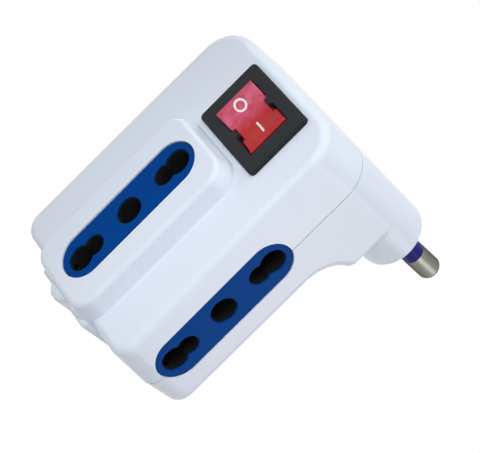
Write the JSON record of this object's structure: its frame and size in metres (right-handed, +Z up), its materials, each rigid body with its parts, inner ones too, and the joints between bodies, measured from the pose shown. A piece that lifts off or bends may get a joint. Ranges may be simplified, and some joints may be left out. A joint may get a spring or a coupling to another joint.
{
  "type": "multi socket adapter",
  "caption": "Wall adapter with round plug pins at the back, figure-eight sockets on its front and sides, and a red rocker switch.",
  "frame": {"origin": "root of the earth pin, on the end face of the plug's nose", "axes": "+Y along the pins towards the wall socket, +Z up the case from its lower end to the switch, +X to the right seen from the front"},
  "size_m": [0.0454, 0.06, 0.0618],
  "materials": {
    "white_case": "moulded, satin gloss",
    "blue_plate": "moulded, satin",
    "black_guide": "moulded",
    "contact_brass": "rolled sheet",
    "plated_pin": "nickel plated, turned",
    "indigo_sleeve": "moulded on",
    "grey_carrier": "moulded",
    "black_switch": "moulded, fine grain",
    "red_rocker": "translucent, polished",
    "tinned_terminal": "tinned",
    "brown_lead": "extruded",
    "steel_screw": "zinc plated"
  },
  "bodies": {
    "case": {"front_shell": "white_case", "rear_shell": "white_case", "front_plate": "blue_plate", "right_plate": "blue_plate", "left_plate": "blue_plate", "front_guide": "black_guide", "right_guide": "black_guide", "left_guide": "black_guide", "line_bar": "contact_brass", "earth_bar": "contact_brass", "neutral_bar": "contact_brass", "line_tag": "contact_brass", "line_pin": "plated_pin", "earth_pin": "plated_pin", "neutral_pin": "plated_pin", "line_sleeve": "indigo_sleeve", "neutral_sleeve": "indigo_sleeve", "pin_carrier": "grey_carrier", "switch_body": "black_switch", "input_terminal": "tinned_terminal", "output_terminal": "tinned_terminal", "line_lead": "brown_lead", "switched_lead": "brown_lead", "case_screws": "steel_screw"},
    "rocker": {"rocker": "red_rocker"}
  },
  "joints": [
    {"name": "rocker_tilt", "type": "hinge", "parent": "case", "child": "rocker", "pos_m": [0.0033, -0.03524, -0.00245], "axis": [0, 0, -1], "range_deg": [0, 16]}
  ]
}
